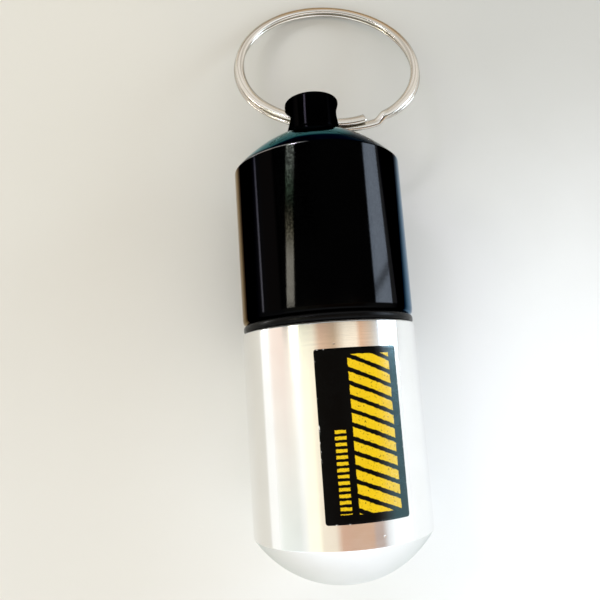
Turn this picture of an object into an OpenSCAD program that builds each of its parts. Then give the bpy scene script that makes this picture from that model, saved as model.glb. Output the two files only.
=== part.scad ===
// Keychain capsule: a turned aluminium tube with a screw cap, a rubber seal, a split ring and a sticker.
// The capsule lies on its side, with its axis along +Y and the split ring at the +Y end.
// The origin is on that axis, where the barrel's straight wall meets its domed bottom.
// Lengths are millimetres and angles are degrees.

/* [Barrel] */
// Outside diameter of the barrel
barrel_d = 17; // [15:0.5:24]
// Length of the barrel's straight wall, from the dome's edge to the shoulder under the cap
barrel_h = 19; // [12:0.5:40]
// How far the domed bottom bulges below the straight wall
dome_rise = 4.6; // [3:0.2:7]
// Thickness of the floor at the middle of the dome
floor_t = 2.8; // [1.5:0.1:4]
// Width of the small bevel round the barrel's shoulder
shoulder_bevel = 0.15; // [0.05:0.05:0.4]

/* [Neck and thread] */
// Radial step from the barrel's wall in to the crests of its thread
neck_step = 1.15; // [1:0.05:2]
// Length of the neck above the shoulder
neck_h = 6.4; // [5:0.2:10]
// Axial distance between neighbouring turns of the thread
pitch = 1; // [0.8:0.1:1.2]
// Radial height of the thread's ridges
thread_depth = 0.45; // [0.35:0.05:0.5]
// Radial clearance between a crest and the wall that faces it
thread_gap = 0.1; // [0.08:0.01:0.15]
// Wall left in the neck between the bore and the bottom of the thread
neck_wall = 0.8; // [0.6:0.1:1.2]

/* [Cap] */
// How much narrower the cap is than the barrel, on the diameter
cap_waist = 0.2; // [0:0.1:0.6]
// Length of the cap's straight wall, from its rim to the edge of the domed shoulder
cap_h = 15.55; // [12:0.5:30]
// Height of the domed shoulder
crown_rise = 3.95; // [3:0.2:6]
// How far the shoulder bulges out of a plain cone
crown_bulge = 0.4; // [0.15:0.05:0.6]
// Radius of the corner round the cap's rim
rim_round = 0.35; // [0.1:0.05:0.5]
// Thickness of the cap's wall above its thread
cap_wall = 1.8; // [1.4:0.1:2.2]

/* [Stud] */
// Diameter of the stud that carries the split ring
stud_d = 5.6; // [5:0.2:7]
// Height of the stud above the shoulder
stud_h = 3.75; // [3.6:0.1:5]
// Radius of the corner round the stud's top
stud_round = 0.25; // [0.1:0.05:0.5]
// Diameter of the hole across the stud
eye_d = 3; // [2.95:0.05:3.2]
// Height of that hole's middle above the shoulder
eye_h = 1.8; // [1.75:0.05:1.9]
// Radius that eases the hole's two mouths
eye_flare = 0.4; // [0.35:0.05:0.45]
// Depth of the groove that the turning tool leaves round the stud's foot
relief_depth = 0.2; // [0.1:0.05:0.3]
// Height of that groove
relief_h = 0.3; // [0.2:0.05:0.4]

/* [Seal] */
// Height that the squeezed seal keeps between the shoulder and the cap's rim
seal_h = 0.85; // [0.6:0.05:1.2]
// How far the seal stands in from the cap's wall
seal_inset = 0.06; // [0.02:0.02:0.4]
// Clearance round the seal, to the neck and to the two faces that hold it
seal_gap = 0.02; // [0.01:0.01:0.05]

/* [Split ring] */
// Outside diameter of the split ring
ring_d = 21.2; // [20.5:0.1:24]
// Width of its flat wire, across the ring
wire_w = 1.2; // [1:0.05:1.25]
// Thickness of the wire
wire_t = 0.46; // [0.35:0.01:0.47]
// Space between the ring's two turns
coil_gap = 0.06; // [0.05:0.01:0.08]
// Size of the eased edges of the wire
wire_edge = 0.12; // [0.08:0.01:0.15]
// Angle by which the ring lies skewed in the stud's hole
ring_skew = 15; // [8:0.5:15]
// How far the wire lies off the middle of that hole, towards the capsule
wire_drop = 0.42; // [0.3:0.01:0.45]
// How far the flat part of the ring hangs below the middle of that hole
ring_sag = 0.6; // [0.3:0.05:0.7]
// Angle each way from the stud in which the wire bows up to pass through the hole
bow_angle = 60; // [50:5:80]
// Angle between the wire's two ends
step_angle = 14; // [10:1:16]
// Angle in which the wire climbs from one turn to the other, next to its lower end
climb_angle = 7; // [6:1:9]
// Angle round the ring from the stud's side to the wire's upper end
end_angle = 18.5; // [14:0.5:24]
// How far each end springs in towards the middle of the ring
spring_in = 0.4; // [0.1:0.05:0.45]
// Angle over which an end springs in
spring_angle = 35; // [20:5:40]

/* [Label] */
// Length of the sticker along the capsule
label_l = 14.5; // [8:0.5:16]
// Width of the sticker, measured round the barrel
label_w = 7.6; // [4:0.2:12]
// Thickness of the sticker
label_t = 0.07; // [0.05:0.01:0.1]
// Distance from the barrel's shoulder to the sticker's near edge
label_drop = 2.4; // [1:0.1:4]
// Angle of the sticker's middle from the top of the capsule, towards the ring's open side
label_angle = 10; // [-30:1:60]
// Thickness of the glue under the sticker
label_glue = 0.01; // [0.01:0.01:0.02]

/* [Quality] */
// Facets round each turned surface
facets = 96; // [48:8:160]
// Facets in each turn of the thread
thread_facets = 32; // [24:4:48]
// Facets in each turn of the split ring
ring_facets = 96; // [48:6:96]

/* [Hidden] */
$fn = facets;
overrun = barrel_d;

barrel_r = barrel_d / 2;
dome_ball_r = (barrel_r * barrel_r + dome_rise * dome_rise) / (2 * dome_rise);

crest_r = barrel_r - neck_step;
root_r = crest_r - thread_depth;
bore_r = root_r - neck_wall;
neck_top = barrel_h + neck_h;
bore_floor = floor_t - dome_rise;

// The collar is the plain foot of the neck, which the seal sits round.
collar_r = crest_r - thread_gap;
collar_h = seal_h + thread_depth;

cap_r = barrel_r - cap_waist / 2;
rim_y = barrel_h + seal_h;
crown_y = rim_y + cap_h;
stud_y = crown_y + crown_rise;
stud_r = stud_d / 2;
stud_top = stud_y + stud_h;
eye_y = stud_y + eye_h;
eye_r = eye_d / 2;

// The cap's shoulder is an arc from the edge of its wall to the stud's foot.
crown_run = cap_r - stud_r;
crown_chord = sqrt(crown_run * crown_run + crown_rise * crown_rise);
crown_arc_r = (crown_chord * crown_chord / 4 + crown_bulge * crown_bulge) / (2 * crown_bulge);
crown_mid = [(cap_r + stud_r) / 2, crown_y + crown_rise / 2];
crown_inward = [-crown_rise, -crown_run] / crown_chord;
crown_centre = crown_mid + crown_inward * (crown_arc_r - crown_bulge);

// The cap's thread faces the neck's: each crest clears the other's wall by thread_gap.
nut_root_r = crest_r + thread_gap;
nut_top = neck_top + pitch / 2;
cap_bore_r = cap_r - cap_wall;
cap_ball_y = crown_y - cap_bore_r + crown_rise / 4;

// A ridge is a trapezium: its foot and crest are shares of the pitch.
ridge_foot_share = 0.7;
ridge_crest_share = 0.2;
ridge_sink = thread_depth / 3;
ridge_fade_turns = 0.25;
ridge_end_share = 0.3;
thread_start = barrel_h + collar_h + pitch / 2;
thread_turns = (neck_top - thread_start - pitch / 2) / pitch;
nut_start = thread_start + pitch / 2;
nut_turns = floor((nut_top - nut_start) / pitch - 1 / 2);

// The split ring's plane holds the axis of the stud's hole and slopes down to the table.
ring_r = ring_d / 2;
wire_r = ring_r - wire_w / 2;
turn_rise = wire_t + coil_gap;
stack_t = turn_rise + wire_t;
ring_side = wire_r * sin(ring_skew);
ring_reach = wire_r * cos(ring_skew) - wire_drop;
rest_arm = ring_reach + ring_r;
rest_drop = stack_t / 2 + ring_sag;
ring_tilt = asin(barrel_r / norm([rest_arm, rest_drop])) - atan2(rest_drop, rest_arm);
hole_angle = atan2(-ring_reach, -ring_side);
wire_end = end_angle - 90;
wire_sweep = 720 - step_angle;
lower_start = wire_end + step_angle;

label_r = barrel_r + label_glue;
label_span = label_w / barrel_r * 180 / PI;

// Stands a piece modelled along +Z on the capsule's axis, along +Y.
module along_axis() {
  rotate([-90, 0, 0]) children();
}

// Joins a row of equal sections, each a list of points, into one closed solid.
module sweep(rows) {
  n = len(rows[0]);
  last = (len(rows) - 1) * n;
  points = [for (row = rows) each row];
  sides = [
    for (i = [0 : len(rows) - 2], j = [0 : n - 1])
      let (a = i * n + j, b = i * n + (j + 1) % n)
        each [[a, b, b + n], [a, b + n, a + n]]
  ];
  start_cap = [for (j = [1 : n - 2]) [0, j + 1, j]];
  end_cap = [for (j = [1 : n - 2]) [last, last + j, last + j + 1]];
  polyhedron(points, concat(sides, start_cap, end_cap), convexity = 10);
}

// A point at radius r and height h, turned by an angle about Z.
function turned(r, h, angle) = [r * cos(angle), r * sin(angle), h];

// How much of its height a ridge has at a given turn: it fades at both ends.
function ridge_share(turn, turns) =
  ridge_end_share + (1 - ridge_end_share) * min(1, turn / ridge_fade_turns, (turns - turn) / ridge_fade_turns);

// Half the width of a ridge at a height above its foot.
function ridge_half(height) =
  pitch / 2 * (ridge_foot_share + (ridge_crest_share - ridge_foot_share) * height / thread_depth);

// A right-handed helical ridge on the wall at foot_r. It points out if dir is 1, and in if dir is -1.
module ridge(foot_r, dir, start, turns) {
  steps = ceil(turns * thread_facets);
  sweep([
    for (i = [0 : steps])
      let (
        turn = turns * i / steps,
        share = ridge_share(turn, turns),
        tall = thread_depth * share,
        low_r = foot_r - dir * ridge_sink,
        high_r = foot_r + dir * tall,
        low_w = ridge_half(-ridge_sink),
        high_w = ridge_half(tall),
        inner = dir > 0 ? [low_r, low_w] : [high_r, high_w],
        outer = dir > 0 ? [high_r, high_w] : [low_r, low_w],
        h = start + pitch * turn,
        angle = 360 * turn
      ) [
        turned(inner[0], h - inner[1], angle),
        turned(outer[0], h - outer[1], angle),
        turned(outer[0], h + outer[1], angle),
        turned(inner[0], h + inner[1], angle)
      ]
  ]);
}

// Half of the barrel's outline, from its axis outwards.
module barrel_outline() {
  intersection() {
    translate([0, dome_ball_r - dome_rise]) circle(dome_ball_r);
    translate([0, -dome_rise]) square([barrel_r, dome_rise]);
  }
  polygon([
    [0, 0],
    [barrel_r, 0],
    [barrel_r, barrel_h - shoulder_bevel],
    [barrel_r - shoulder_bevel, barrel_h],
    [0, barrel_h]
  ]);
  square([collar_r, barrel_h + collar_h]);
  square([root_r, neck_top]);
}

// Half of the bore's outline: a straight hole with a ball-shaped floor.
module bore_outline() {
  translate([0, bore_floor + bore_r]) {
    square([bore_r, overrun + neck_top]);
    intersection() {
      circle(bore_r);
      translate([0, -bore_r]) square([bore_r, bore_r]);
    }
  }
}

module barrel() {
  color([0.86, 0.86, 0.85]) along_axis() {
    rotate_extrude() difference() {
      barrel_outline();
      bore_outline();
    }
    ridge(root_r, 1, thread_start, thread_turns);
  }
}

// Half of the cap's outline: the wall with its eased rim, the domed shoulder and the stud.
module cap_outline() {
  translate([0, rim_y + rim_round]) square([cap_r, cap_h - rim_round]);
  translate([0, rim_y]) square([cap_r - rim_round, rim_round]);
  intersection() {
    translate([cap_r - rim_round, rim_y + rim_round]) circle(rim_round);
    translate([cap_r - rim_round, rim_y]) square(rim_round);
  }
  intersection() {
    translate(crown_centre) circle(crown_arc_r);
    translate([0, crown_y]) square([cap_r, crown_rise]);
  }
  translate([0, stud_y]) square([stud_r - relief_depth, relief_h]);
  translate([0, stud_y + relief_h]) square([stud_r, stud_h - relief_h - stud_round]);
  translate([0, stud_y + relief_h]) square([stud_r - stud_round, stud_h - relief_h]);
  intersection() {
    translate([stud_r - stud_round, stud_top - stud_round]) circle(stud_round);
    translate([stud_r - stud_round, stud_top - stud_round]) square(stud_round);
  }
}

// Half of the outline of the space inside the cap.
module cap_hollow_outline() {
  translate([0, rim_y - overrun]) square([nut_root_r, nut_top - rim_y + overrun]);
  square([cap_bore_r, cap_ball_y]);
  translate([0, cap_ball_y]) intersection() {
    circle(cap_bore_r);
    square(cap_bore_r);
  }
}

// The hole across the stud, with a rounded mouth at each side.
module eye() {
  translate([0, 0, eye_y]) rotate([0, 90, 0]) {
    cylinder(h = 2 * overrun, r = eye_r, center = true);
    for (side = [0, 1]) mirror([0, 0, side]) translate([0, 0, stud_r - eye_flare])
      rotate_extrude() difference() {
        square([eye_r + eye_flare, eye_flare + relief_depth]);
        translate([eye_r + eye_flare, 0]) circle(eye_flare);
      }
  }
}

module cap() {
  color([0.03, 0.03, 0.035]) along_axis() {
    difference() {
      rotate_extrude() difference() {
        cap_outline();
        cap_hollow_outline();
      }
      eye();
    }
    ridge(nut_root_r, -1, nut_start, nut_turns);
  }
}

module o_ring() {
  low = barrel_h + seal_gap;
  tall = seal_h - 2 * seal_gap;
  inner_r = collar_r + seal_gap;
  outer_r = cap_r - seal_inset;
  color([0.05, 0.05, 0.05]) along_axis() rotate_extrude() {
    translate([inner_r, low]) square([outer_r - tall / 2 - inner_r, tall]);
    intersection() {
      translate([outer_r - tall / 2, low + tall / 2]) circle(tall / 2);
      translate([outer_r - tall / 2, low]) square([tall / 2, tall]);
    }
  }
}

// The wire's section, with eased edges, as points outwards and up.
wire_section = [
  for (corner = [[1, -1], [1, 1], [-1, 1], [-1, -1]])
    let (
      x = corner[0] * wire_w / 2,
      y = corner[1] * wire_t / 2,
      along_x = [x - corner[0] * wire_edge, y],
      along_y = [x, y - corner[1] * wire_edge]
    ) each (corner[0] * corner[1] < 0 ? [along_x, along_y] : [along_y, along_x])
];

// Height of the wire's middle: the lower turn, the climb between the ends, then the upper turn.
function wire_height(angle) =
  let (t = min(1, max(0, (angle - 360 + climb_angle) / climb_angle)))
    turn_rise * (t * t * (3 - 2 * t) - 1 / 2);

// How far both turns bow up at an angle round the ring, so that they pass through the hole.
function wire_bow(angle) =
  let (off = (angle - hole_angle + 540) % 360 - 180, share = cos(90 * min(1, abs(off) / bow_angle)))
    ring_sag * share * share;

// How far an end of the wire has sprung in.
function wire_spring(angle) =
  let (near = min(angle, wire_sweep - angle), t = max(0, 1 - near / spring_angle)) spring_in * t * t;

// The ring lies flat, with its middle at the origin.
module split_wire() {
  step = 360 / ring_facets;
  sweep([
    for (i = [0 : ceil(wire_sweep / step)])
      let (
        angle = min(wire_sweep, step * i),
        r = wire_r - wire_spring(angle),
        h = wire_height(angle) + wire_bow(lower_start + angle)
      ) [for (p = wire_section) turned(r + p[0], h + p[1], lower_start + angle)]
  ]);
}

module split_ring() {
  color([0.78, 0.76, 0.72])
    translate([0, eye_y, 0]) rotate([-ring_tilt, 0, 0])
      translate([ring_side, ring_reach, -ring_sag]) split_wire();
}

module label() {
  color([0.08, 0.08, 0.07]) along_axis()
    translate([0, 0, barrel_h - label_drop - label_l])
      rotate([0, 0, label_angle - 90 - label_span / 2])
        rotate_extrude(angle = label_span) translate([label_r, 0]) square([label_t, label_l]);
}

barrel();
cap();
o_ring();
split_ring();
label();
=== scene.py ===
import math

import bmesh
import bpy
from mathutils import Euler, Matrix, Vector


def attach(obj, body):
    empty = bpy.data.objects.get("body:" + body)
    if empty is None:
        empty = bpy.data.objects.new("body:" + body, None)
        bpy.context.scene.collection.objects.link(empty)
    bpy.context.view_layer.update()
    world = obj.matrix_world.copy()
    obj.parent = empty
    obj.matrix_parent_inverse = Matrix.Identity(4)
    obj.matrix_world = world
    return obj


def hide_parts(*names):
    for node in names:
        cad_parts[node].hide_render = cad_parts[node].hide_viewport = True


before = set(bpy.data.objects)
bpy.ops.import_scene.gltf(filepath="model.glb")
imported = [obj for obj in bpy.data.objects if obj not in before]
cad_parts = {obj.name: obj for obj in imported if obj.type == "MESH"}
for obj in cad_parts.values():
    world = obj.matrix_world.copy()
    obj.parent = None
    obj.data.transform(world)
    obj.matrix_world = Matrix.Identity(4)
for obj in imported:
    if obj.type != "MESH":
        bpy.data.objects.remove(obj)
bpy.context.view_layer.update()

MM = 0.001

# Sizes from part.scad, in millimetres and degrees. R is a radius, Y a place along the capsule's axis.
# The barrel: its wall, the shoulder's bevel, the neck with its thread, and the ball-ended bore.
BARREL_R, BARREL_H, DOME_RISE = 8.5, 19.0, 4.6
BEVEL = 0.15
COLLAR_R, COLLAR_TOP = 7.25, 20.3
ROOT_R, NECK_TOP = 6.9, 25.4
BORE_R, BORE_BALL_Y = 6.1, 4.3
PITCH, THREAD_DEPTH = 1.0, 0.45
THREAD_START, THREAD_TURNS = 20.8, 4.1
# The cap: its wall and shoulder, the thread and hollow inside, and the stud with its cross hole.
CAP_R, RIM_Y = 8.4, 19.85
CROWN_Y, CROWN_BULGE = 35.4, 0.4
NUT_ROOT_R, NUT_TOP = 7.45, 25.9
NUT_START, NUT_TURNS = 21.3, 4.0
CAP_BORE_R, CAP_BALL_Y = 6.6, 29.7875
STUD_R, STUD_Y, STUD_TOP = 2.8, 39.35, 43.1
RELIEF_R, RELIEF_H = 2.6, 0.3
EYE_Y, EYE_R = 41.15, 1.5
# The seal.
SEAL_IN_R, SEAL_OUT_R = 7.27, 8.34
SEAL_LOW, SEAL_TOP = 19.02, 19.83
# The split ring: its wire, where it lies, its two turns, how it sags in the hole, and how its ends spring in.
WIRE_R, WIRE_T = 10.0, 0.46
RING_SIDE, RING_REACH = 2.588, 9.239
RING_TILT = math.radians(22.18)
RING_START, RING_SWEEP = -57.5, 706.0
TURN_RISE, CLIMB_ANGLE = 0.52, 7.0
RING_SAG, BOW_ANGLE, HOLE_ANGLE = 0.6, 60.0, -105.65
SPRING_IN, SPRING_ANGLE = 0.4, 35.0
# The sticker.
LABEL_R, LABEL_LOW = 8.51, 2.1
LABEL_L, LABEL_W = 14.5, 7.6
LABEL_ANGLE = math.radians(10)
# The table's top, on which the barrel lies.
TABLE_Z = -BARREL_R

# Sizes of the scene's own, in millimetres. Some differ from part.scad, and the others aren't in it.
EYE_FLARE = 0.2  # rounding of the hole's mouths, 0.4 in part.scad
WIRE_W = 1.18  # width of both turns together, 1.2 in part.scad
TURN_SLIP = 0.08  # how far the lower turn stands out and the upper one in
WIRE_SQUARE = 2.3  # power of the wire's section, where 2 is an ellipse
LABEL_T = 0.068  # thickness of the sticker, 0.07 in part.scad
LABEL_CORNER = 0.25
LABEL_EDGE = 0.02  # how far the sticker's edge drops
SHARP = 35  # the angle, in degrees, over which an edge stays sharp

# How finely the pieces are cut.
COLUMNS = 256
THREAD_STEP = 0.05
DOME_STEPS, CROWN_STEPS, BALL_STEPS = 60, 40, 32
EYE_COLUMNS, EYE_STEPS = 96, 10
WIRE_POINTS, WIRE_ROWS = 28, 640
LABEL_STEP = 0.1

# The studio, in metres.
FLOOR_REACH = 3.0  # from the middle to each side
ROOM_STRENGTH, WINDOW_STRENGTH = 1.3, 12.0
STRIP_W, STRIP_L, STRIP_RADIANCE = 0.0045, 0.038, 32.0
STRIP_PLACE = (-0.092, 0.051, -0.0062)
CAMERA_PLACE = (-0.0065445, 0.0128424, 0.061103)
CAMERA_TURN = (0.1561, -0.0539, -0.0685)
LENS, SENSOR = 37.143, 36.0


# Mesh making

def new_mesh(name, verts, faces):
    """A mesh from points in millimetres, with its normals outwards."""
    mesh = bpy.data.meshes.new(name)
    mesh.from_pydata([Vector(v) * MM for v in verts], [], faces)
    bm = bmesh.new()
    bm.from_mesh(mesh)
    bmesh.ops.recalc_face_normals(bm, faces=bm.faces)
    bm.to_mesh(mesh)
    bm.free()
    return mesh


def shade(mesh, sharp=SHARP):
    """Smooth shading, but for edges sharper than an angle in degrees."""
    mesh.shade_smooth()
    mesh.set_sharp_from_angle(angle=math.radians(sharp))


def new_object(name, data):
    obj = bpy.data.objects.new(name, data)
    bpy.context.scene.collection.objects.link(obj)
    return obj


def piece(name, verts, faces, body, node, material, sharp=SHARP):
    """Makes a piece that stands for a CAD node and rides on that node's body."""
    mesh = new_mesh(name, verts, faces)
    shade(mesh, sharp)
    mesh.materials.append(material)
    obj = new_object(name, mesh)
    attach(obj, body)
    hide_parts(node)
    return obj


def eased(points, steps=5, support=0.04):
    """Rounds the corners of a profile. Each point is (r, y) or (r, y, radius)."""
    out = []
    for i, point in enumerate(points):
        p = Vector(point[:2])
        radius = point[2] if len(point) > 2 else 0
        if not radius or i in (0, len(points) - 1):
            out.append(tuple(p))
            continue
        a = (Vector(points[i - 1][:2]) - p).normalized()
        b = (Vector(points[i + 1][:2]) - p).normalized()
        half = a.angle(b) / 2
        reach = radius / math.tan(half)
        centre = p + (a + b).normalized() * radius / math.sin(half)
        first = (p + a * reach - centre).normalized()
        last = (p + b * reach - centre).normalized()
        out.append(tuple(p + a * (reach + support)))
        for k in range(steps + 1):
            out.append(tuple(centre + first.slerp(last, k / steps) * radius))
        out.append(tuple(p + b * (reach + support)))
    return out


def arc(centre, radius, start, end, steps):
    """Points (r, y) on an arc, with angles in degrees from the r axis towards +y."""
    angles = [math.radians(start + (end - start) * k / steps) for k in range(steps + 1)]
    return [(centre[0] + radius * math.cos(a), centre[1] + radius * math.sin(a)) for a in angles]


def turned(profile, columns, shift=None):
    """Turns a closed or pole-to-pole profile about the Y axis. shift(phi, r, y) is added to the radius."""
    verts, rows = [], []
    for r, y in profile:
        if r < 1e-6:
            rows.append([len(verts)] * columns)
            verts.append((0, y, 0))
            continue
        rows.append(list(range(len(verts), len(verts) + columns)))
        for j in range(columns):
            phi = 2 * math.pi * j / columns
            rr = r + (shift(phi, r, y) if shift else 0)
            verts.append((rr * math.sin(phi), y, rr * math.cos(phi)))
    closed = profile[0][0] > 1e-6
    faces = []
    for i in range(len(rows) if closed else len(rows) - 1):
        low, high = rows[i], rows[(i + 1) % len(rows)]
        for j in range(columns):
            k = (j + 1) % columns
            faces.append(tuple(dict.fromkeys((low[j], low[k], high[k], high[j]))))
    return verts, faces


def ridge_height(phi, y, start, turns):
    """Height of the screw thread's ridge at an angle and a place along the axis, as in part.scad."""
    fade_turns, fade_low = 0.25, 0.3
    foot, slope = 0.35, 0.25
    turn0 = (math.degrees(phi) - 90) % 360 / 360
    best = 0
    for k in range(int(turns) + 2):
        turn = turn0 + k
        if turn > turns:
            break
        off = abs(y - start - PITCH * turn) / PITCH
        share = fade_low + (1 - fade_low) * min(1, turn / fade_turns, (turns - turn) / fade_turns)
        best = max(best, min(THREAD_DEPTH * share, THREAD_DEPTH * (foot - off) / slope))
    return best


def steps_between(r, low, high, gap):
    """Rows of a straight wall, a gap apart."""
    count = math.ceil(abs(high - low) / gap)
    return [(r, low + (high - low) * k / count) for k in range(count + 1)]


# Node making

class Nodes:
    """Short calls for building one node tree."""

    def __init__(self, tree):
        self.tree = tree
        tree.nodes.clear()

    def add(self, kind, **settings):
        node = self.tree.nodes.new(kind)
        for key, value in settings.items():
            setattr(node, key, value)
        return node

    def put(self, socket, value):
        if isinstance(value, bpy.types.NodeSocket):
            self.tree.links.new(value, socket)
        else:
            socket.default_value = value

    def math(self, operation, *values):
        node = self.add("ShaderNodeMath", operation=operation)
        for socket, value in zip(node.inputs, values):
            self.put(socket, value)
        return node.outputs[0]

    def plus(self, a, b):
        return self.math("ADD", a, b)

    def minus(self, a, b):
        return self.math("SUBTRACT", a, b)

    def times(self, *values):
        product = values[0]
        for value in values[1:]:
            product = self.math("MULTIPLY", product, value)
        return product

    def absolute(self, value):
        return self.math("ABSOLUTE", value)

    def lean(self, x, z):
        """The angle about the Y axis, in degrees from the zenith towards +X."""
        return self.times(self.math("ARCTAN2", x, z), 180 / math.pi)

    def split(self, vector):
        node = self.add("ShaderNodeSeparateXYZ")
        self.put(node.inputs[0], vector)
        return node.outputs

    def join(self, x, y, z):
        node = self.add("ShaderNodeCombineXYZ")
        for socket, value in zip(node.inputs, (x, y, z)):
            self.put(socket, value)
        return node.outputs[0]

    def noise(self, vector, scale, detail, roughness=0.5):
        node = self.add("ShaderNodeTexNoise")
        self.put(node.inputs["Vector"], vector)
        self.put(node.inputs["Scale"], scale)
        self.put(node.inputs["Detail"], detail)
        self.put(node.inputs["Roughness"], roughness)
        return node.outputs["Fac"]

    def streaks(self, x, y, z, scales, detail, roughness=0.5):
        """Noise with a scale of its own for each axis."""
        scaled = [self.times(value, scale) if scale else 0.0 for value, scale in zip((x, y, z), scales)]
        return self.noise(self.join(*scaled), 1.0, detail, roughness)

    def cells(self, vector, scale):
        node = self.add("ShaderNodeTexVoronoi")
        self.put(node.inputs["Vector"], vector)
        self.put(node.inputs["Scale"], scale)
        return node.outputs["Distance"]

    def fit(self, value, low, high, to_low=0.0, to_high=1.0, smooth=True):
        node = self.add("ShaderNodeMapRange", interpolation_type="SMOOTHSTEP" if smooth else "LINEAR")
        for socket, v in zip(node.inputs, (value, low, high, to_low, to_high)):
            self.put(socket, v)
        return node.outputs[0]

    def within(self, value, low, high, soft):
        """1 between two bounds and 0 outside them."""
        return self.times(self.fit(value, low - soft, low + soft), self.fit(value, high + soft, high - soft))

    def mix(self, share, a, b, blend="MIX"):
        node = self.add("ShaderNodeMix", data_type="RGBA", blend_type=blend)
        self.put(node.inputs[0], share)
        self.put(node.inputs[6], a)
        self.put(node.inputs[7], b)
        return node.outputs[2]

    def ramp(self, stops, value, low, high):
        """Colours over a range of values. Each stop is (value, (r, g, b))."""
        node = self.add("ShaderNodeValToRGB")
        elements = node.color_ramp.elements
        while len(elements) < len(stops):
            elements.new(0.5)
        for element, (at, tint) in zip(elements, stops):
            element.position = (at - low) / (high - low)
            element.color = colour(*tint)
        self.put(node.inputs[0], self.fit(value, low, high, smooth=False))
        return node.outputs[0]

    def bump(self, height, distance):
        node = self.add("ShaderNodeBump")
        self.put(node.inputs["Strength"], 1.0)
        self.put(node.inputs["Distance"], distance)
        self.put(node.inputs["Height"], height)
        return node.outputs[0]

    def uv(self, name):
        return self.split(self.add("ShaderNodeUVMap", uv_map=name).outputs[0])[:2]

    def place_mm(self):
        """The point on the piece at rest, in millimetres."""
        coordinates = self.add("ShaderNodeTexCoord")
        node = self.add("ShaderNodeVectorMath", operation="SCALE")
        self.put(node.inputs[0], coordinates.outputs["Object"])
        self.put(node.inputs["Scale"], 1 / MM)
        return node.outputs[0]


def colour(r, g, b):
    return (r, g, b, 1.0)


def material(name, **inputs):
    """A material with a Principled shader, and its node helper. inputs are socket names with _ for spaces."""
    made = bpy.data.materials.new(name)
    made.use_nodes = True
    nodes = Nodes(made.node_tree)
    shader = nodes.add("ShaderNodeBsdfPrincipled")
    out = nodes.add("ShaderNodeOutputMaterial")
    nodes.put(out.inputs["Surface"], shader.outputs[0])
    for key, value in inputs.items():
        nodes.put(shader.inputs[key.replace("_", " ")], value)
    return made, nodes, shader.inputs


def turning_lines(nodes, place, sign, scales):
    """Noises for the fine lines that a lathe leaves. sign is 1 where the radius grows with y, or -1."""
    x, y, z = nodes.split(place)
    r = nodes.math("SQRT", nodes.plus(nodes.times(x, x), nodes.times(z, z)))
    along = nodes.plus(y, nodes.times(r, sign))
    return [nodes.streaks(along, x, z, (scale, 0.12, 0.12), 2.0) for scale in scales]


# Materials

def make_aluminium():
    """Bare aluminium: bright fine-turned walls and a satin dome, with a few small dents."""
    made, nodes, inputs = material(
        "bare_aluminium", Metallic=1.0, Anisotropic=0.6, Anisotropic_Rotation=0.25
    )
    place = nodes.place_mm()
    y = nodes.split(place)[1]
    fine, coarse = turning_lines(nodes, place, 1, (16.0, 2.2))
    dome = nodes.fit(y, 0.02, -0.05)
    smudge = nodes.noise(place, 0.35, 3.0)
    nodes.put(inputs["Base Color"], nodes.mix(smudge, colour(0.83, 0.83, 0.82), colour(0.9, 0.9, 0.89)))
    wear = nodes.plus(nodes.times(fine, 0.6), nodes.times(smudge, 0.4))
    rough = nodes.plus(nodes.fit(wear, 0.3, 0.7, 0.1, 0.16), nodes.times(dome, 0.26))
    nodes.put(inputs["Roughness"], rough)
    tangent = nodes.add("ShaderNodeTangent", direction_type="RADIAL", axis="Y")
    nodes.put(inputs["Tangent"], tangent.outputs[0])
    # Painted shade: the dome's duller tint at grazing angles darkens its edge, where it reflects the shade
    # under the capsule.
    nodes.put(inputs["Specular Tint"], nodes.mix(dome, colour(1, 1, 1), colour(0.68, 0.72, 0.71)))
    dents = nodes.fit(nodes.cells(place, 0.45), 0.05, 0.02)
    height = nodes.plus(nodes.times(fine, 0.5), nodes.times(coarse, 0.8))
    height = nodes.minus(height, nodes.times(dents, 6.0))
    nodes.put(inputs["Normal"], nodes.bump(height, 0.0000012))
    return made


def black_base(nodes, place, cloud):
    """The black's colour: dotted high up, painted shade at the rim, flanks, stud and crease, and a painted
    highlight on part of the crease.
    """
    x, y, z = nodes.split(place)
    grain = nodes.fit(nodes.noise(place, 8.0, 2.0), 0.35, 0.65)
    black = nodes.mix(cloud, colour(0.014, 0.014, 0.0145), colour(0.017, 0.017, 0.0175))
    black = nodes.mix(nodes.times(grain, 0.45), black, colour(0.007, 0.007, 0.007))
    # Dark specks, kept to the upper left where the window's reflection falls, break that reflection up:
    # partly pores in the finish, partly a painted reflection pattern.
    glint = nodes.fit(nodes.noise(place, 5.0, 3.0, 0.7), 0.44, 0.58)
    dotted = nodes.times(nodes.fit(y, 25, 28), nodes.fit(x, 0, -2), nodes.minus(1.0, glint))
    black = nodes.mix(nodes.times(dotted, 0.85), black, colour(0.002, 0.002, 0.002))
    # Painted shade: the rim's rounding next to the seal is made darker.
    rim = nodes.fit(y, RIM_Y + 0.55, RIM_Y + 0.7)
    black = nodes.mix(rim, colour(0.003, 0.003, 0.003), black)
    # Painted shade: the cap's left and right flanks and the stud are made darker.
    lean = nodes.lean(x, z)
    past = nodes.plus(lean, nodes.times(y, 0.42))
    painted_shade = nodes.math("MAXIMUM", nodes.fit(lean, -31, -34), nodes.fit(past, 51.5, 53.5))
    painted_shade = nodes.math("MAXIMUM", painted_shade, nodes.fit(y, STUD_Y, STUD_Y + 0.1))
    black = nodes.mix(painted_shade, black, colour(0.0022, 0.0022, 0.0025))
    # Painted shade along the crease between wall and shoulder.
    crease = nodes.fit(nodes.absolute(nodes.minus(y, CROWN_Y)), 0.1, 0.04)
    black = nodes.mix(crease, black, colour(0.001, 0.001, 0.001))
    # A painted highlight: part of the crease on the left is bright, where it catches the window's light.
    painted_crease_highlight = nodes.times(crease, nodes.fit(x, -1.2, -2.6), nodes.fit(x, -7.8, -6.6))
    return nodes.mix(painted_crease_highlight, black, colour(0.22, 0.22, 0.22))


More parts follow.
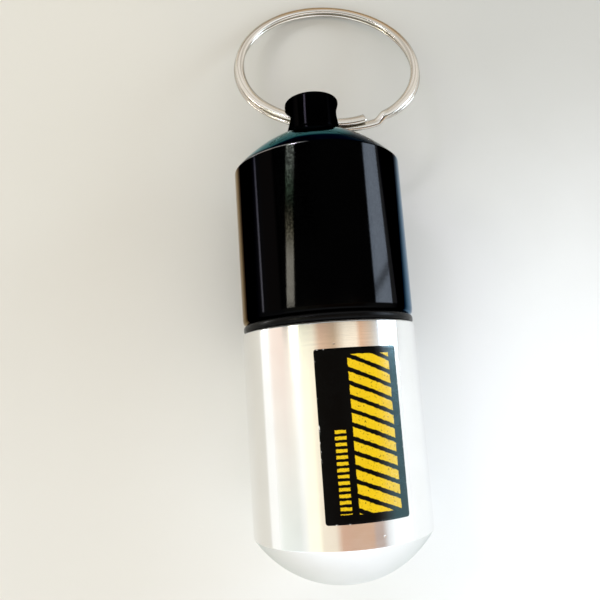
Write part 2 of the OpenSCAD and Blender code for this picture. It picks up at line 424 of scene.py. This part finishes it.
def painted_black_sheen(nodes, place):
    """The black's painted sheen, its tint at grazing angles set by side: brown at the left, blue at the
    right, teal at the crown's top, as painted reflections.
    """
    x, y, z = nodes.split(place)
    lean = nodes.lean(x, z)
    wall = nodes.mix(nodes.fit(lean, -68, -77), colour(0.42, 0.42, 0.43), colour(1.0, 0.8, 0.58))
    blue = nodes.fit(nodes.minus(lean, nodes.times(y, 0.45)), 42, 51)
    wall = nodes.mix(blue, wall, colour(0.62, 0.8, 1.0))
    plain = colour(0.4, 0.42, 0.45)
    level = nodes.plus(y, nodes.fit(x, -2.4, -4.8, 0.0, 0.75, smooth=False))
    crown = nodes.mix(nodes.fit(level, 36.3, 36.6), plain, colour(0.5, 0.8, 0.86))
    crown = nodes.mix(nodes.fit(x, 1.6, 3.4), crown, plain)
    sheen = nodes.mix(nodes.fit(y, CROWN_Y, CROWN_Y + 0.1), wall, crown)
    return nodes.mix(nodes.fit(y, STUD_Y, STUD_Y + 0.1), sheen, colour(0.25, 0.25, 0.25))


def make_black():
    """Gloss black anodising over fine turning lines."""
    made, nodes, inputs = material("black_aluminium", Metallic=1.0)
    place = nodes.place_mm()
    fine, coarse = turning_lines(nodes, place, -1, (14.0, 1.6))
    cloud = nodes.noise(place, 0.5, 3.0)
    nodes.put(inputs["Base Color"], black_base(nodes, place, cloud))
    nodes.put(inputs["Specular Tint"], painted_black_sheen(nodes, place))
    nodes.put(inputs["Roughness"], nodes.fit(cloud, 0.3, 0.7, 0.04, 0.07))
    height = nodes.plus(nodes.times(fine, 0.35), nodes.times(coarse, 0.5))
    height = nodes.plus(height, nodes.times(nodes.noise(place, 9.0, 2.0), 0.9))
    nodes.put(inputs["Normal"], nodes.bump(height, 0.0000012))
    return made


def make_rubber():
    made, nodes, inputs = material("seal_rubber", Specular_IOR_Level=0.08)
    place = nodes.place_mm()
    x, y, z = nodes.split(place)
    grain = nodes.noise(place, 6.0, 4.0)
    streaks = nodes.streaks(y, x, z, (7.0, 0.5, 0.5), 3.0)
    base = nodes.mix(grain, colour(0.0005, 0.0005, 0.0005), colour(0.002, 0.002, 0.002))
    nodes.put(inputs["Base Color"], base)
    nodes.put(inputs["Roughness"], nodes.fit(streaks, 0.3, 0.7, 0.22, 0.36))
    nodes.put(inputs["Normal"], nodes.bump(nodes.plus(nodes.times(grain, 0.4), streaks), 0.00001))
    return made


def make_nickel(around):
    """Nickel plate with drawing lines, and a painted brown reflection on the far side's outer edge. around is
    the wire's girth.
    """
    made, nodes, inputs = material("nickel_wire", Metallic=1.0)
    u, v = nodes.uv("wire_mm")
    place = nodes.place_mm()
    x, y = nodes.split(place)[:2]
    cloud = nodes.noise(place, 0.6, 3.0)
    drawn = nodes.streaks(u, v, 0.0, (0.25, 9.0, 0), 3.0)
    dull = nodes.streaks(u, v, 0.0, (0.05, 2.8, 0), 2.0)
    nickel = nodes.mix(cloud, colour(0.66, 0.63, 0.57), colour(0.73, 0.695, 0.63))
    nickel = nodes.mix(nodes.fit(dull, 0.6, 0.42), nickel, colour(0.47, 0.44, 0.385))
    outer = nodes.fit(nodes.math("PINGPONG", v, around / 2), 0.95, 0.45)
    side = nodes.fit(nodes.plus(x, nodes.times(cloud, 4.0)), -4, 2)
    # Painted reflection: the far side's outer edge is tinted brown.
    painted_brown_reflection = nodes.times(nodes.fit(y, 51.5, 55), side, outer, 0.85)
    nodes.put(inputs["Base Color"], nodes.mix(painted_brown_reflection, nickel, colour(0.42, 0.27, 0.11)))
    wear = nodes.plus(nodes.times(drawn, 0.5), nodes.times(cloud, 0.5))
    nodes.put(inputs["Roughness"], nodes.fit(wear, 0.3, 0.7, 0.12, 0.26))
    nodes.put(inputs["Normal"], nodes.bump(drawn, 0.000004))
    return made


def sticker_print(nodes, place, u, v):
    """Where the sticker is yellow: a block of slanted bars and a row of ticks, a little worn."""
    wobble = nodes.times(nodes.minus(nodes.noise(place, 3.0, 3.0), 0.5), 0.14)
    across, along = nodes.plus(u, wobble), nodes.plus(v, wobble)
    soft, bar_pitch, tick_pitch, slant = 0.03, 1.16, 0.52, 0.42
    slanted = nodes.plus(along, nodes.times(across, slant))
    bars = nodes.within(nodes.math("FRACT", nodes.times(slanted, 1 / bar_pitch)), 0.12, 0.78, soft)
    bars = nodes.times(bars, nodes.within(across, 2.85, 6.75, soft), nodes.within(along, 0.75, 13.9, soft))
    ticks = nodes.within(nodes.math("FRACT", nodes.times(along, 1 / tick_pitch)), 0.14, 0.66, 2 * soft)
    ticks = nodes.times(ticks, nodes.within(across, 1.3, 2.25, soft), nodes.within(along, 0.8, 7.7, soft))
    worn = nodes.fit(nodes.noise(place, 5.5, 6.0, 0.75), 0.63, 0.59)
    return nodes.times(nodes.math("MAXIMUM", bars, ticks), worn)


def make_sticker():
    """Black vinyl with a yellow print, chipped at its edges, with a painted blue sheen on its right side."""
    made, nodes, inputs = material("sticker")
    u, v = nodes.uv("label_mm")
    place = nodes.place_mm()
    ink = sticker_print(nodes, place, u, v)
    edge_u = nodes.math("MINIMUM", u, nodes.minus(LABEL_W, u))
    edge_v = nodes.math("MINIMUM", v, nodes.minus(LABEL_L, v))
    edge = nodes.fit(nodes.math("MINIMUM", edge_u, edge_v), 0.12, 0.05)
    chips = nodes.times(edge, nodes.fit(nodes.noise(place, 3.2, 2.0), 0.65, 0.69))
    cloud = nodes.noise(place, 0.9, 4.0)
    black = nodes.mix(cloud, colour(0.001, 0.001, 0.001), colour(0.0025, 0.0025, 0.0023))
    yellow = nodes.mix(cloud, colour(0.72, 0.46, 0.008), colour(0.82, 0.55, 0.014))
    base = nodes.mix(ink, black, yellow)
    nodes.put(inputs["Base Color"], nodes.mix(chips, base, colour(0.75, 0.74, 0.7)))
    nodes.put(inputs["Roughness"], nodes.fit(cloud, 0.3, 0.7, 0.2, 0.3))
    # Painted sheen: the sticker's specular level and blue tint rise towards its right side.
    sheen = nodes.fit(nodes.minus(u, nodes.times(v, 0.09)), 3.9, 6.4, 0.04, 1.0)
    nodes.put(inputs["Specular IOR Level"], sheen)
    nodes.put(inputs["Specular Tint"], nodes.mix(sheen, colour(1.0, 0.95, 0.9), colour(0.45, 0.9, 1.0)))
    height = nodes.plus(nodes.times(ink, 0.6), nodes.noise(place, 2.0, 3.0))
    nodes.put(inputs["Normal"], nodes.bump(height, 0.000008))
    return made


def make_floor():
    """Pale paper with painted light and shade: warm on the left, and on the right white near the viewer and
    greyer farther off.
    """
    made, nodes, inputs = material("floor_paper", Roughness=0.75, Specular_IOR_Level=0.25)
    place = nodes.place_mm()
    x, y = nodes.split(place)[:2]
    grain = nodes.times(nodes.minus(nodes.noise(place, 0.06, 4.0), 0.5), 9.0)
    across, along = nodes.plus(x, grain), nodes.plus(y, grain)
    # Painted light and shade: the paper is whiter on the right near the viewer, greyer farther off, and
    # darker farther off on the left.
    right = nodes.mix(nodes.fit(along, 4, 60), colour(0.93, 0.96, 0.96), colour(0.54, 0.54, 0.5))
    left = nodes.mix(nodes.fit(along, -5, 45), colour(0.752, 0.737, 0.668), colour(0.665, 0.64, 0.56))
    left = nodes.mix(nodes.fit(across, -50, -60), left, colour(0.98, 0.98, 0.94))
    nodes.put(inputs["Base Color"], nodes.mix(nodes.fit(across, -28, 26), left, right))
    # Seen from below, the floor is clear.
    surface = next(n for n in made.node_tree.nodes if n.type == "OUTPUT_MATERIAL").inputs["Surface"]
    clear = nodes.add("ShaderNodeBsdfTransparent")
    sides = nodes.add("ShaderNodeMixShader")
    nodes.put(sides.inputs[0], nodes.add("ShaderNodeNewGeometry").outputs["Backfacing"])
    nodes.put(sides.inputs[1], surface.links[0].from_socket)
    nodes.put(sides.inputs[2], clear.outputs[0])
    nodes.put(surface, sides.outputs[0])
    return made


# Pieces

def make_barrel(aluminium):
    """The barrel: dome, wall, shoulder, collar, threaded neck and ball-ended bore."""
    ball_r = (BARREL_R**2 + DOME_RISE**2) / (2 * DOME_RISE)
    edge = math.degrees(math.asin(BARREL_R / ball_r))
    dome = arc((0, ball_r - DOME_RISE), ball_r, -90, edge - 90, DOME_STEPS)
    dome[0] = (0, -DOME_RISE)
    lip = 0.1
    outside = eased([
        dome[-2],
        (BARREL_R, 0, 0.12),
        (BARREL_R, BARREL_H - BEVEL, 0.05),
        (BARREL_R - BEVEL, BARREL_H, 0.04),
        (COLLAR_R, BARREL_H, 0.05),
        (COLLAR_R, COLLAR_TOP, 0.1),
        (ROOT_R, COLLAR_TOP + 0.01),
    ])
    thread = steps_between(ROOT_R, COLLAR_TOP + 0.06, NECK_TOP - lip, THREAD_STEP)
    inside = eased([
        (ROOT_R, NECK_TOP - lip),
        (ROOT_R - lip, NECK_TOP, 0.05),
        (BORE_R + lip, NECK_TOP, 0.05),
        (BORE_R, NECK_TOP - lip, 0.05),
        (BORE_R, BORE_BALL_Y),
    ])
    floor = arc((0, BORE_BALL_Y), BORE_R, 0, -90, BALL_STEPS)
    floor[-1] = (0, BORE_BALL_Y - BORE_R)
    profile = dome[:-2] + outside + thread + inside[1:] + floor[1:]
    low, high = COLLAR_TOP + 0.05, NECK_TOP - 0.05

    def shift(phi, r, y):
        if r == ROOT_R and low < y < high:
            return ridge_height(phi, y, THREAD_START, THREAD_TURNS)
        return 0

    verts, faces = turned(profile, COLUMNS, shift)
    piece("barrel_turned", verts, faces, "barrel", "barrel", aluminium)


def crown_arc():
    """The cap's shoulder: an arc from the edge of its wall to the stud's foot, as in part.scad."""
    low, high = Vector((CAP_R, CROWN_Y)), Vector((STUD_R, STUD_Y))
    chord = high - low
    radius = (chord.length_squared / 4 + CROWN_BULGE**2) / (2 * CROWN_BULGE)
    inward = Vector((-chord.y, chord.x)).normalized()
    centre = (low + high) / 2 + inward * (radius - CROWN_BULGE)
    start, end = (math.degrees(math.atan2(p.y - centre.y, p.x - centre.x)) for p in (low, high))
    return arc(centre, radius, start, end, CROWN_STEPS)


def make_cap(black):
    """The cap: rim, wall, shoulder and stud outside, and the thread and the hollow inside."""
    crown = crown_arc()
    wall = eased([
        (NUT_ROOT_R, RIM_Y + 0.12),
        (NUT_ROOT_R + 0.12, RIM_Y, 0.04),
        (CAP_R - 0.3, RIM_Y, 0.06),
        (CAP_R - 0.06, RIM_Y + 0.22, 0.3),
        (CAP_R, RIM_Y + 0.55, 0.4),
        (CAP_R, CROWN_Y, 0.1),
        crown[1],
    ], steps=6)
    stud_wall = steps_between(STUD_R, STUD_Y + RELIEF_H + 0.05, STUD_TOP - 0.3, 0.12)
    foot = eased([
        crown[-1],
        (RELIEF_R, STUD_Y, 0.04),
        (RELIEF_R, STUD_Y + RELIEF_H, 0.04),
        (STUD_R, STUD_Y + RELIEF_H, 0.03),
        stud_wall[1],
    ], support=0.02)
    top = eased([
        stud_wall[-1],
        (STUD_R, STUD_TOP, 0.25),
        (1.2, STUD_TOP),
        (0, STUD_TOP),
    ], steps=8)
    hollow = arc((0, CAP_BALL_Y), CAP_BORE_R, 90, 0, BALL_STEPS)
    hollow[0] = (0, CAP_BALL_Y + CAP_BORE_R)
    inside = hollow + eased([
        hollow[-1],
        (CAP_BORE_R, NUT_TOP, 0.05),
        (NUT_ROOT_R, NUT_TOP, 0.05),
        (NUT_ROOT_R, NUT_TOP - 0.2),
    ])[1:]
    nut = steps_between(NUT_ROOT_R, NUT_TOP - 0.21, RIM_Y + 0.2, THREAD_STEP)
    low, high = RIM_Y + 0.25, NUT_TOP - 0.25

    def shift(phi, r, y):
        if r == NUT_ROOT_R and low < y < high:
            return -ridge_height(phi, y, NUT_START, NUT_TURNS)
        return 0

    outer = wall[:-1] + crown[1:-1] + foot + stud_wall[2:-1] + top
    verts, faces = turned(inside + nut + outer, COLUMNS, shift)
    cut_eye(piece("cap_turned", verts, faces, "cap", "cap", black))


def cut_eye(cap):
    """Cuts the hole across the stud, with its rounded mouths."""
    past = STUD_R + 1
    mouth = arc((EYE_R + EYE_FLARE, STUD_R - EYE_FLARE), EYE_FLARE, 180, 90, EYE_STEPS)
    half = mouth + [(EYE_R + EYE_FLARE, past)]
    profile = [(0, -past)] + [(r, -h) for r, h in reversed(half)] + half + [(0, past)]
    verts, faces = turned(profile, EYE_COLUMNS)
    mesh = new_mesh("eye_cutter", [(y, x + EYE_Y, z) for x, y, z in verts], faces)
    cutter = new_object("eye_cutter", mesh)
    cut = cap.modifiers.new("eye", "BOOLEAN")
    cut.operation, cut.object, cut.solver = "DIFFERENCE", cutter, "EXACT"
    bpy.context.view_layer.update()
    done = bpy.data.meshes.new_from_object(cap.evaluated_get(bpy.context.evaluated_depsgraph_get()))
    cap.modifiers.clear()
    cap.data = done
    shade(done)
    bpy.data.objects.remove(cutter)


def make_seal(rubber):
    """The seal: a band round the collar, squeezed between shoulder and rim."""
    middle = (SEAL_IN_R, (SEAL_LOW + SEAL_TOP) / 2)
    profile = eased([
        middle,
        (SEAL_IN_R, SEAL_LOW, 0.1),
        (SEAL_OUT_R, SEAL_LOW, 0.34),
        (SEAL_OUT_R, SEAL_TOP, 0.34),
        (SEAL_IN_R, SEAL_TOP, 0.1),
        middle,
    ], steps=8, support=0.02)[:-1]
    verts, faces = turned(profile, COLUMNS)
    piece("seal_band", verts, faces, "seal", "o_ring", rubber, sharp=60)


def wire_place(angle, out, up):
    """A point of the split ring: the angle along its wire, and the place in the wire's section."""
    t = min(1, max(0, (angle - 360 + CLIMB_ANGLE) / CLIMB_ANGLE))
    climb = t * t * (3 - 2 * t)
    off = abs((RING_START + angle - HOLE_ANGLE + 540) % 360 - 180)
    bow = RING_SAG * math.cos(math.pi / 2 * min(1, off / BOW_ANGLE)) ** 2
    height = TURN_RISE * (climb - 0.5) + bow - RING_SAG + up
    near = max(0, 1 - min(angle, RING_SWEEP - angle) / SPRING_ANGLE)
    r = WIRE_R - SPRING_IN * near * near + TURN_SLIP * (1 - 2 * climb) + out
    a = math.radians(RING_START + angle)
    x, y = r * math.cos(a) + RING_SIDE, r * math.sin(a) + RING_REACH
    return (
        x,
        EYE_Y + y * math.cos(RING_TILT) + height * math.sin(RING_TILT),
        -y * math.sin(RING_TILT) + height * math.cos(RING_TILT),
    )


def wire_section():
    """The wire's section, between an ellipse and a rectangle, and the distance round it up to each point."""
    section = []
    for k in range(WIRE_POINTS):
        a = 2 * math.pi * k / WIRE_POINTS
        c, s = math.cos(a), math.sin(a)
        section.append((
            math.copysign(abs(c) ** (2 / WIRE_SQUARE), c) * (WIRE_W / 2 - TURN_SLIP),
            math.copysign(abs(s) ** (2 / WIRE_SQUARE), s) * WIRE_T / 2,
        ))
    around = [0.0]
    for p, q in zip(section, section[1:] + section[:1]):
        around.append(around[-1] + math.dist(p, q))
    return section, around


def make_ring():
    """The split ring: the wire's section swept along its two turns. Its UV map is in millimetres."""
    section, around = wire_section()
    ends = ((0.0, 0.1), (0.05, 0.03), (0.25, 0.0))  # angle from the wire's end, and how far its edge draws in
    first = ends[-1][0]
    rows = list(ends)
    rows += [(first + (RING_SWEEP - 2 * first) * k / WIRE_ROWS, 0.0) for k in range(1, WIRE_ROWS)]
    rows += [(RING_SWEEP - angle, inset) for angle, inset in reversed(ends)]
    verts, faces, n = [], [], WIRE_POINTS
    for angle, inset in rows:
        kx, ky = 1 - 2 * inset / WIRE_W, 1 - 2 * inset / WIRE_T
        verts += [wire_place(angle, x * kx, y * ky) for x, y in section]
    for i in range(len(rows) - 1):
        for j in range(n):
            k = (j + 1) % n
            faces.append((i * n + j, i * n + k, (i + 1) * n + k, (i + 1) * n + j))
    last = (len(rows) - 1) * n
    faces.append(tuple(reversed(range(n))))
    faces.append(tuple(last + j for j in range(n)))
    nickel = make_nickel(around[n])
    ring = piece("split_ring_wire", verts, faces, "key_ring", "split_ring", nickel, sharp=50)
    layer = ring.data.uv_layers.new(name="wire_mm")
    for polygon in ring.data.polygons:
        columns = [ring.data.loops[l].vertex_index % n for l in polygon.loop_indices]
        wraps = 0 in columns and n - 1 in columns and len(columns) == 4
        for l in polygon.loop_indices:
            i, j = divmod(ring.data.loops[l].vertex_index, n)
            v = around[n] if wraps and j == 0 else around[j]
            layer.data[l].uv = (math.radians(rows[i][0]) * WIRE_R, v)


def rounded(u, v):
    """Moves a corner point of the sticker's grid in, so that the corners are round."""
    du = max(0, abs(u - LABEL_W / 2) - (LABEL_W / 2 - LABEL_CORNER))
    dv = max(0, abs(v - LABEL_L / 2) - (LABEL_L / 2 - LABEL_CORNER))
    if du > 0 and dv > 0:
        shrink = max(du, dv) / math.hypot(du, dv)
        u -= math.copysign(du * (1 - shrink), u - LABEL_W / 2)
        v -= math.copysign(dv * (1 - shrink), v - LABEL_L / 2)
    return u, v


def label_place(u, v, r):
    phi = LABEL_ANGLE + (u - LABEL_W / 2) / BARREL_R
    return (r * math.sin(phi), LABEL_LOW + v, r * math.cos(phi))


def make_label(sticker):
    """The sticker: a bent grid with a thickness. Its UV map is in millimetres."""
    columns, rows = round(LABEL_W / LABEL_STEP), round(LABEL_L / LABEL_STEP)
    wide = columns + 1
    grid = [rounded(LABEL_W * i / columns, LABEL_L * j / rows) for j in range(rows + 1) for i in range(wide)]
    n = len(grid)
    verts = []
    for k, (u, v) in enumerate(grid):
        at_rim = k % wide in (0, columns) or k // wide in (0, rows)
        verts.append(label_place(u, v, LABEL_R + LABEL_T - (LABEL_EDGE if at_rim else 0)))
    verts += [label_place(u, v, LABEL_R) for u, v in grid]
    faces = []
    for j in range(rows):
        for i in range(columns):
            a = j * wide + i
            quad = (a, a + 1, a + wide + 1, a + wide)
            faces.append(quad)
            faces.append(tuple(n + q for q in reversed(quad)))
    rim = list(range(wide))
    rim += [j * wide + columns for j in range(1, rows + 1)]
    rim += [rows * wide + i for i in range(columns - 1, -1, -1)]
    rim += [j * wide for j in range(rows - 1, 0, -1)]
    for a, b in zip(rim, rim[1:] + rim[:1]):
        faces.append((a, n + a, n + b, b))
    label = piece("sticker_vinyl", verts, faces, "barrel", "label", sticker)
    layer = label.data.uv_layers.new(name="label_mm")
    for loop in label.data.loops:
        layer.data[loop.index].uv = grid[loop.vertex_index % n]


# Studio

def make_stage():
    corners = ((-1, -1), (1, -1), (1, 1), (-1, 1))
    verts = [(x * FLOOR_REACH, y * FLOOR_REACH, TABLE_Z * MM) for x, y in corners]
    mesh = bpy.data.meshes.new("floor")
    mesh.from_pydata(verts, [], [(0, 1, 2, 3)])
    mesh.materials.append(make_floor())
    new_object("floor", mesh)


def make_lamp():
    """A thin strip of light on the left, just above the table, which faces the capsule."""
    light = bpy.data.lights.new("table_strip", "AREA")
    light.shape = "RECTANGLE"
    light.size, light.size_y = STRIP_W, STRIP_L
    light.energy = STRIP_RADIANCE * math.pi * STRIP_W * STRIP_L
    light.color = (1.0, 0.98, 0.96)
    obj = new_object("table_strip", light)
    obj.location = STRIP_PLACE
    obj.rotation_euler = (0, -math.pi / 2, 0)
    obj.visible_camera = False


def room_light(nodes, x, y, z, swing):
    """The room: two rows of pale and brown panels over the capsule, with a dim part beyond and pale walls."""
    white, cream, blue = (0.98, 0.98, 0.97), (0.98, 0.95, 0.74), (0.74, 0.77, 0.79)
    tan, umber, dusk = (0.76, 0.67, 0.53), (0.48, 0.28, 0.17), (0.38, 0.29, 0.25)
    upper = nodes.ramp([
        (-98, white), (-86, (0.86, 0.73, 0.64)), (-70, (0.84, 0.69, 0.6)),
        (-59, (0.97, 0.87, 0.75)), (-51, white), (-43, cream), (-27, (0.98, 0.9, 0.7)),
        (-18, (0.7, 0.45, 0.3)), (0, (0.56, 0.41, 0.27)), (14, (1.08, 0.97, 0.78)),
        (28, (1.12, 0.98, 0.78)), (34, (0.84, 0.52, 0.33)), (50, (0.69, 0.58, 0.46)),
        (61, blue), (98, blue),
    ], swing, -120, 120)
    lower = nodes.ramp([
        (-98, white), (-84, (0.76, 0.8, 0.75)), (-60, (0.67, 0.7, 0.66)),
        (-52, (0.8, 0.8, 0.76)), (-42, cream), (-35, cream), (-30, tan), (-15, tan),
        (-7, (0.54, 0.32, 0.21)), (10, umber), (30, umber), (34, dusk), (43, dusk),
        (50, (0.68, 0.7, 0.72)), (60, (0.9, 0.94, 0.95)), (98, (0.9, 0.94, 0.95)),
    ], swing, -120, 120)
    over = nodes.mix(nodes.fit(y, -0.208, 0.087, smooth=False), lower, upper)
    dim = nodes.times(nodes.fit(y, 0.1, 0.14), nodes.fit(nodes.absolute(swing), 70, 64))
    over = nodes.mix(dim, over, colour(0.04, 0.04, 0.04))
    brown, pale = colour(0.37, 0.27, 0.15), colour(0.78, 0.75, 0.72)
    table = nodes.mix(nodes.fit(nodes.absolute(x), 0.35, 0.5), brown, pale)
    far = nodes.mix(nodes.fit(z, 0.1, 0.17), table, pale)
    far = nodes.mix(nodes.fit(z, 0.36, 0.6), far, colour(0.98, 1.02, 1.06))
    near = nodes.mix(nodes.fit(z, 0.2, 0.45), colour(0.9, 0.92, 0.94), colour(1.2, 1.27, 1.36))
    over = nodes.mix(nodes.fit(y, 0.42, 0.55), over, far)
    return nodes.mix(nodes.fit(y, -0.27, -0.36), over, near)


def left_window(nodes, y, swing):
    """It leans: its middle moves right as it rises. Leaves break up its upper half.

    Its tone runs from warm at the foot through dark leaves and green to violet at the top.
    """
    bend = nodes.math("MAXIMUM", nodes.minus(y, 0.309), 0.0)
    middle = nodes.plus(nodes.plus(nodes.times(y, 47.0), -59.8), nodes.times(bend, 36.0))
    half = nodes.fit(y, 0.39, 0.42, 5.3, 3.2)
    inside = nodes.minus(half, nodes.absolute(nodes.minus(swing, middle)))
    shape = nodes.times(nodes.fit(inside, -0.5, 0.5), nodes.within(y, 0.142, 0.5, 0.008))
    leaves = nodes.streaks(swing, y, 0.0, (0.7, 120.0, 0), 3.0, 0.7)
    faint, strong = nodes.fit(leaves, 0.3, 0.7, 0.75, 1.1), nodes.fit(leaves, 0.42, 0.6, 0.05, 1.5)
    leaves = nodes.mix(nodes.fit(y, 0.25, 0.32), faint, strong)
    warm, green, violet = (1.0, 0.95, 0.78), (0.9, 1.0, 0.85), (2.6, 2.3, 2.9)
    tone = nodes.ramp([
        (0.14, warm), (0.22, warm), (0.26, (0.5, 0.46, 0.3)), (0.3, (0.04, 0.05, 0.03)),
        (0.33, (0.25, 0.4, 0.25)), (0.37, green), (0.4, green), (0.42, violet), (0.5, violet),
    ], y, 0.1, 0.5)
    return nodes.mix(shape, colour(0, 0, 0), nodes.mix(1.0, tone, leaves, "MULTIPLY"))


def right_window(nodes, y, swing):
    """Its left side stands upright, its right side leans in as it rises, and a bar slants across its foot."""
    edge = nodes.plus(swing, nodes.times(y, 31.0))
    shape = nodes.times(nodes.fit(swing, 60.5, 63.0), nodes.fit(edge, 95.6, 94.4))
    shape = nodes.times(shape, nodes.within(y, 0.1, 0.398, 0.006))
    slanted = nodes.plus(nodes.times(nodes.minus(swing, 62.0), -0.00126), y)
    bar = nodes.within(slanted, 0.15, 0.168, 0.003)
    shape = nodes.times(shape, nodes.minus(1.0, nodes.times(bar, 0.85)))
    return nodes.mix(shape, colour(0, 0, 0), colour(0.58, 0.69, 0.83))


def make_world():
    """A soft room with two windows. swing is the angle about the capsule's axis."""
    world = bpy.data.worlds.new("studio")
    bpy.context.scene.world = world
    world.use_nodes = True
    nodes = Nodes(world.node_tree)
    x, y, z = nodes.split(nodes.add("ShaderNodeTexCoord").outputs["Generated"])
    swing = nodes.lean(x, z)
    room = nodes.add("ShaderNodeBackground")
    nodes.put(room.inputs["Color"], room_light(nodes, x, y, z, swing))
    nodes.put(room.inputs["Strength"], ROOM_STRENGTH)
    windows = nodes.add("ShaderNodeBackground")
    both_windows = nodes.mix(1.0, left_window(nodes, y, swing), right_window(nodes, y, swing), "ADD")
    nodes.put(windows.inputs["Color"], both_windows)
    nodes.put(windows.inputs["Strength"], WINDOW_STRENGTH)
    both = nodes.add("ShaderNodeAddShader")
    nodes.put(both.inputs[0], room.outputs[0])
    nodes.put(both.inputs[1], windows.outputs[0])
    out = nodes.add("ShaderNodeOutputWorld")
    nodes.put(out.inputs["Surface"], both.outputs[0])


def make_camera():
    data = bpy.data.cameras.new("camera")
    data.lens, data.sensor_width = LENS, SENSOR
    data.clip_start, data.clip_end = 0.001, 20
    camera = new_object("camera", data)
    camera.location = CAMERA_PLACE
    camera.rotation_euler = Euler(CAMERA_TURN, "XYZ")
    bpy.context.scene.camera = camera


make_barrel(make_aluminium())
make_cap(make_black())
make_seal(make_rubber())
make_ring()
make_label(make_sticker())
make_stage()
make_world()
make_camera()
make_lamp()

bpy.context.scene.view_settings.view_transform = "Standard"
